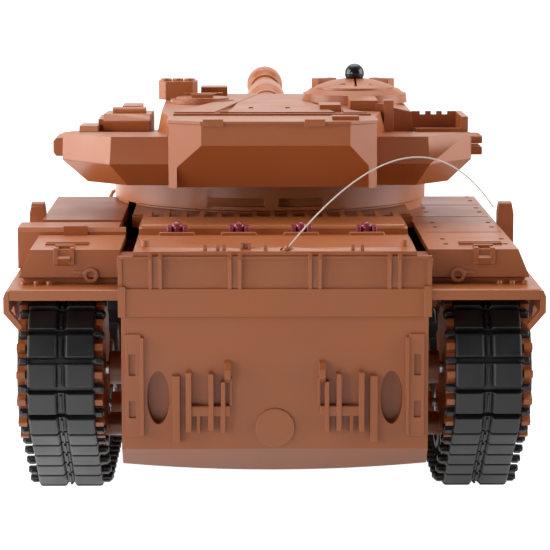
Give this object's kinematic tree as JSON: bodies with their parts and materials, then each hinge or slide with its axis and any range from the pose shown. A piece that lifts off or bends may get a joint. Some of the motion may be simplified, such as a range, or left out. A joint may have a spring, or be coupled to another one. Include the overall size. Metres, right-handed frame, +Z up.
{
  "type": "radio-controlled tank",
  "caption": "Radio-controlled battle tank model with rubber tracks, sprung-looking road wheels, a turning turret and an elevating gun",
  "frame": {"origin": "the point on the ground under the turret's axis, midway between the tracks", "axes": "+Y towards the tank's front, +X towards its right-hand side, +Z up"},
  "size_m": [0.172, 0.4015, 0.1366],
  "materials": {
    "sand_plastic": "satin moulded plastic, terracotta sand",
    "track_rubber": "matt black moulded rubber",
    "red_clear_plastic": "translucent red lamp plastic",
    "clear_plastic": "clear lens plastic",
    "antenna_wire": "thin flexible wire in a light jacket",
    "black_plastic": "black moulded plastic",
    "steel": "plain steel",
    "nylon": "natural nylon",
    "pinion_brass": "machined brass",
    "battery_wrap": "shrink wrap",
    "board_green": "solder mask"
  },
  "bodies": {
    "hull": {"lower_hull": "sand_plastic", "upper_hull": "sand_plastic", "rear_deck": "sand_plastic", "deck_lamps": "red_clear_plastic", "side_skirt_left": "sand_plastic", "side_skirt_right": "sand_plastic", "track_left": "track_rubber", "track_right": "track_rubber", "battery_pack": "battery_wrap", "circuit_board": "board_green", "antenna": "antenna_wire", "antenna_socket": "sand_plastic", "gearbox_housings": "black_plastic", "drive_motors": "steel", "headlight_lenses": "clear_plastic", "hull_screws": "steel", "stub_axles": "steel", "traverse_motor": "steel", "speaker": "black_plastic"},
    "battery_door": {"battery_cover": "sand_plastic"},
    "switch_slider": {"power_switch": "black_plastic"},
    "turret": {"turret_base": "sand_plastic", "turret_shell": "sand_plastic", "bustle_box": "sand_plastic", "cupola": "sand_plastic", "receiver_dome": "black_plastic", "gunner_sight": "sand_plastic", "smoke_launchers": "sand_plastic", "side_bin_left": "sand_plastic", "side_bin_right": "sand_plastic", "turret_gear": "nylon", "turret_screws": "steel"},
    "gun": {"mantlet": "sand_plastic", "gun_barrel": "sand_plastic", "emitter_led": "clear_plastic"},
    "hatch": {"loader_hatch": "sand_plastic"},
    "traverse_pinion": {"traverse_pinion": "nylon"},
    "left_drive": {"sprocket_left": "sand_plastic", "drive_axle_left": "steel", "output_gear_left": "nylon"},
    "left_pinion": {"pinion_left": "pinion_brass"},
    "left_idler": {"idler_left": "sand_plastic"},
    "left_wheel_1": {"road_wheel_left_1": "sand_plastic"},
    "left_wheel_2": {"road_wheel_left_2": "sand_plastic"},
    "left_wheel_3": {"road_wheel_left_3": "sand_plastic"},
    "left_wheel_4": {"road_wheel_left_4": "sand_plastic"},
    "left_wheel_5": {"road_wheel_left_5": "sand_plastic"},
    "left_wheel_6": {"road_wheel_left_6": "sand_plastic"},
    "right_drive": {"sprocket_right": "sand_plastic", "drive_axle_right": "steel", "output_gear_right": "nylon"},
    "right_pinion": {"pinion_right": "pinion_brass"},
    "right_idler": {"idler_right": "sand_plastic"},
    "right_wheel_1": {"road_wheel_right_1": "sand_plastic"},
    "right_wheel_2": {"road_wheel_right_2": "sand_plastic"},
    "right_wheel_3": {"road_wheel_right_3": "sand_plastic"},
    "right_wheel_4": {"road_wheel_right_4": "sand_plastic"},
    "right_wheel_5": {"road_wheel_right_5": "sand_plastic"},
    "right_wheel_6": {"road_wheel_right_6": "sand_plastic"}
  },
  "joints": [
    {"name": "turret_traverse", "type": "hinge", "parent": "hull", "child": "turret", "pos_m": [0, 0, 0.088], "axis": [0, 0, 1], "range_deg": [-150, 150]},
    {"name": "traverse_pinion_spin", "type": "hinge", "parent": "hull", "child": "traverse_pinion", "pos_m": [0, -0.048, 0.0785], "axis": [0, 0, 1], "range_deg": [-1060, 1060]},
    {"name": "gun_elevation", "type": "hinge", "parent": "turret", "child": "gun", "pos_m": [0, 0.045, 0.109], "axis": [1, 0, 0], "range_deg": [-4, 14]},
    {"name": "hatch_hinge", "type": "hinge", "parent": "turret", "child": "hatch", "pos_m": [-0.025, 0.0092, 0.1242], "axis": [-1, 0, 0], "range_deg": [0, 95]},
    {"name": "battery_door_slide", "type": "slide", "parent": "hull", "child": "battery_door", "axis": [0, 0, -1], "range_m": [0, 0.02]},
    {"name": "power_switch_slide", "type": "slide", "parent": "hull", "child": "switch_slider", "axis": [1, 0, 0], "range_m": [0, 0.005]},
    {"name": "left_drive_spin", "type": "hinge", "parent": "hull", "child": "left_drive", "pos_m": [-0.068, -0.126, 0.045], "axis": [1, 0, 0], "continuous": true},
    {"name": "left_pinion_spin", "type": "hinge", "parent": "hull", "child": "left_pinion", "pos_m": [-0.036, -0.1086, 0.05311], "axis": [1, 0, 0], "continuous": true},
    {"name": "left_idler_spin", "type": "hinge", "parent": "hull", "child": "left_idler", "pos_m": [-0.068, 0.13, 0.038], "axis": [1, 0, 0], "continuous": true},
    {"name": "left_wheel_1_spin", "type": "hinge", "parent": "hull", "child": "left_wheel_1", "pos_m": [-0.068, -0.098, 0.0208], "axis": [1, 0, 0], "continuous": true},
    {"name": "left_wheel_2_spin", "type": "hinge", "parent": "hull", "child": "left_wheel_2", "pos_m": [-0.068, -0.061, 0.0208], "axis": [1, 0, 0], "continuous": true},
    {"name": "left_wheel_3_spin", "type": "hinge", "parent": "hull", "child": "left_wheel_3", "pos_m": [-0.068, -0.024, 0.0208], "axis": [1, 0, 0], "continuous": true},
    {"name": "left_wheel_4_spin", "type": "hinge", "parent": "hull", "child": "left_wheel_4", "pos_m": [-0.068, 0.013, 0.0208], "axis": [1, 0, 0], "continuous": true},
    {"name": "left_wheel_5_spin", "type": "hinge", "parent": "hull", "child": "left_wheel_5", "pos_m": [-0.068, 0.05, 0.0208], "axis": [1, 0, 0], "continuous": true},
    {"name": "left_wheel_6_spin", "type": "hinge", "parent": "hull", "child": "left_wheel_6", "pos_m": [-0.068, 0.087, 0.0208], "axis": [1, 0, 0], "continuous": true},
    {"name": "right_drive_spin", "type": "hinge", "parent": "hull", "child": "right_drive", "pos_m": [0.068, -0.126, 0.045], "axis": [1, 0, 0], "continuous": true},
    {"name": "right_pinion_spin", "type": "hinge", "parent": "hull", "child": "right_pinion", "pos_m": [0.036, -0.1086, 0.05311], "axis": [1, 0, 0], "continuous": true},
    {"name": "right_idler_spin", "type": "hinge", "parent": "hull", "child": "right_idler", "pos_m": [0.068, 0.13, 0.038], "axis": [1, 0, 0], "continuous": true},
    {"name": "right_wheel_1_spin", "type": "hinge", "parent": "hull", "child": "right_wheel_1", "pos_m": [0.068, -0.098, 0.0208], "axis": [1, 0, 0], "continuous": true},
    {"name": "right_wheel_2_spin", "type": "hinge", "parent": "hull", "child": "right_wheel_2", "pos_m": [0.068, -0.061, 0.0208], "axis": [1, 0, 0], "continuous": true},
    {"name": "right_wheel_3_spin", "type": "hinge", "parent": "hull", "child": "right_wheel_3", "pos_m": [0.068, -0.024, 0.0208], "axis": [1, 0, 0], "continuous": true},
    {"name": "right_wheel_4_spin", "type": "hinge", "parent": "hull", "child": "right_wheel_4", "pos_m": [0.068, 0.013, 0.0208], "axis": [1, 0, 0], "continuous": true},
    {"name": "right_wheel_5_spin", "type": "hinge", "parent": "hull", "child": "right_wheel_5", "pos_m": [0.068, 0.05, 0.0208], "axis": [1, 0, 0], "continuous": true},
    {"name": "right_wheel_6_spin", "type": "hinge", "parent": "hull", "child": "right_wheel_6", "pos_m": [0.068, 0.087, 0.0208], "axis": [1, 0, 0], "continuous": true}
  ],
  "couplings": [
    {"joint": "traverse_pinion_spin", "follows": "turret_traverse", "ratio": -7},
    {"joint": "left_pinion_spin", "follows": "left_drive_spin", "ratio": -3},
    {"joint": "left_idler_spin", "follows": "left_drive_spin", "ratio": 1.1966},
    {"joint": "left_wheel_1_spin", "follows": "left_drive_spin", "ratio": 1.2102},
    {"joint": "left_wheel_2_spin", "follows": "left_drive_spin", "ratio": 1.2102},
    {"joint": "left_wheel_3_spin", "follows": "left_drive_spin", "ratio": 1.2102},
    {"joint": "left_wheel_4_spin", "follows": "left_drive_spin", "ratio": 1.2102},
    {"joint": "left_wheel_5_spin", "follows": "left_drive_spin", "ratio": 1.2102},
    {"joint": "left_wheel_6_spin", "follows": "left_drive_spin", "ratio": 1.2102},
    {"joint": "right_pinion_spin", "follows": "right_drive_spin", "ratio": -3},
    {"joint": "right_idler_spin", "follows": "right_drive_spin", "ratio": 1.1966},
    {"joint": "right_wheel_1_spin", "follows": "right_drive_spin", "ratio": 1.2102},
    {"joint": "right_wheel_2_spin", "follows": "right_drive_spin", "ratio": 1.2102},
    {"joint": "right_wheel_3_spin", "follows": "right_drive_spin", "ratio": 1.2102},
    {"joint": "right_wheel_4_spin", "follows": "right_drive_spin", "ratio": 1.2102},
    {"joint": "right_wheel_5_spin", "follows": "right_drive_spin", "ratio": 1.2102},
    {"joint": "right_wheel_6_spin", "follows": "right_drive_spin", "ratio": 1.2102}
  ]
}
